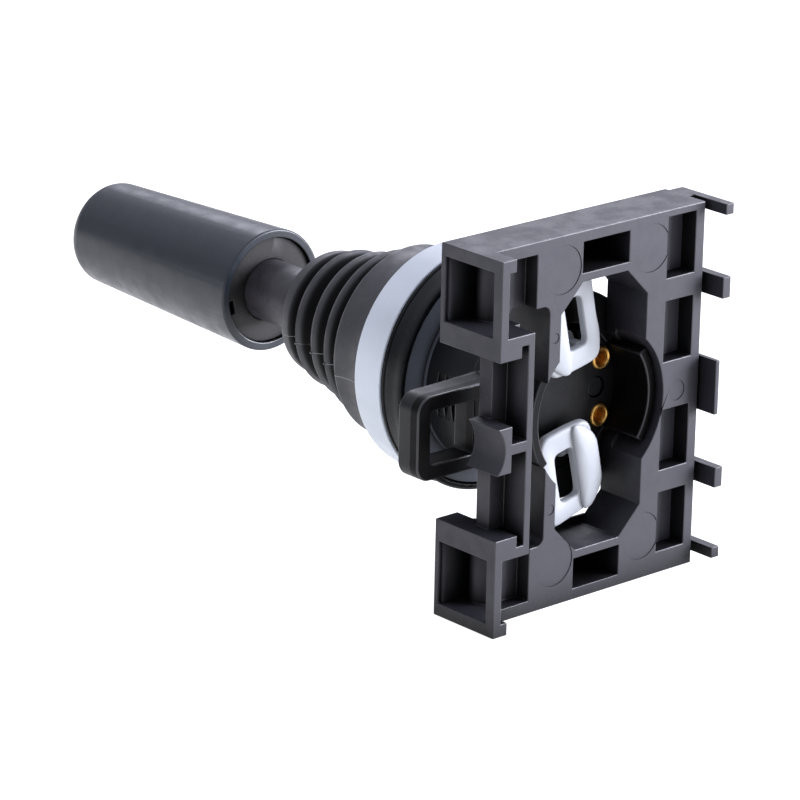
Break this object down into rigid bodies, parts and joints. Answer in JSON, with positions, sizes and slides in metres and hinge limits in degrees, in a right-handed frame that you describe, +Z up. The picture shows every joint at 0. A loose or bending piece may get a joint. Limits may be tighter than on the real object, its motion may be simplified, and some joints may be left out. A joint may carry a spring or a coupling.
{
  "type": "industrial joystick",
  "caption": "Panel-mounted joystick switch with a tapered grip, ribbed rubber boot, pale bezel ring, screwless collar and a clip-on contact-block adapter.",
  "frame": {"origin": "centre of the panel hole at the panel's front face, on the axis of the upright lever", "axes": "+Z up along the panel, -Y along the lever towards the hand, +X towards the locking loop"},
  "size_m": [0.043, 0.0989, 0.046],
  "materials": {
    "adapter_plastic": "satin moulded",
    "housing_plastic": "satin moulded",
    "grip_plastic": "satin moulded",
    "plug_plastic": "moulded",
    "pale_plastic": "satin moulded",
    "white_plastic": "satin moulded",
    "black_rubber": "matt moulded",
    "brass": "rolled and polished",
    "black_steel": "blackened",
    "spring_steel": "drawn"
  },
  "bodies": {
    "device": {"contact_adapter": "adapter_plastic", "housing": "housing_plastic", "base_plate": "housing_plastic", "hollow_rivets": "brass", "bezel_ring": "pale_plastic", "panel_gasket": "black_rubber", "bellows": "black_rubber", "upper_spring": "spring_steel", "lower_spring": "spring_steel", "left_spring": "spring_steel", "right_spring": "spring_steel"},
    "gimbal": {"gimbal_ring": "housing_plastic", "trunnion_pins": "spring_steel", "lever_pin": "spring_steel"},
    "lever": {"lever_shaft": "black_steel", "grip_core": "housing_plastic", "grip_sleeve": "grip_plastic", "grip_plug": "plug_plastic", "grip_pin": "spring_steel"},
    "upper_tappet": {"upper_tappet": "white_plastic"},
    "lower_tappet": {"lower_tappet": "white_plastic"},
    "left_tappet": {"left_tappet": "housing_plastic"},
    "right_tappet": {"right_tappet": "housing_plastic"},
    "locking_lever": {"locking_lever": "adapter_plastic"}
  },
  "joints": [
    {"name": "tilt_up_down", "type": "hinge", "parent": "device", "child": "gimbal", "pos_m": [0, 0, 0], "axis": [1, 0, 0], "range_deg": [-12, 12], "stiffness_Nm_per_rad": 1.2, "deforming": ["bellows"]},
    {"name": "tilt_left_right", "type": "hinge", "parent": "gimbal", "child": "lever", "pos_m": [0, 0, 0], "axis": [0, 0, 1], "range_deg": [-12, 12], "stiffness_Nm_per_rad": 1.2},
    {"name": "upper_push", "type": "slide", "parent": "device", "child": "upper_tappet", "axis": [0, 1, 0], "range_m": [-0.0014, 0.0014], "deforming": ["upper_spring"]},
    {"name": "lower_push", "type": "slide", "parent": "device", "child": "lower_tappet", "axis": [0, 1, 0], "range_m": [-0.0014, 0.0014], "deforming": ["lower_spring"]},
    {"name": "left_push", "type": "slide", "parent": "device", "child": "left_tappet", "axis": [0, 1, 0], "range_m": [-0.0014, 0.0014], "deforming": ["left_spring"]},
    {"name": "right_push", "type": "slide", "parent": "device", "child": "right_tappet", "axis": [0, 1, 0], "range_m": [-0.0014, 0.0014], "deforming": ["right_spring"]},
    {"name": "lock_turn", "type": "hinge", "parent": "device", "child": "locking_lever", "pos_m": [0, 0.0125, 0], "axis": [0, 1, 0], "range_deg": [-13, 13]}
  ],
  "couplings": [
    {"joint": "upper_push", "follows": "tilt_up_down", "m_per_rad": -0.0066},
    {"joint": "lower_push", "follows": "tilt_up_down", "m_per_rad": 0.0066},
    {"joint": "left_push", "follows": "tilt_left_right", "m_per_rad": 0.0064},
    {"joint": "right_push", "follows": "tilt_left_right", "m_per_rad": -0.0064}
  ]
}
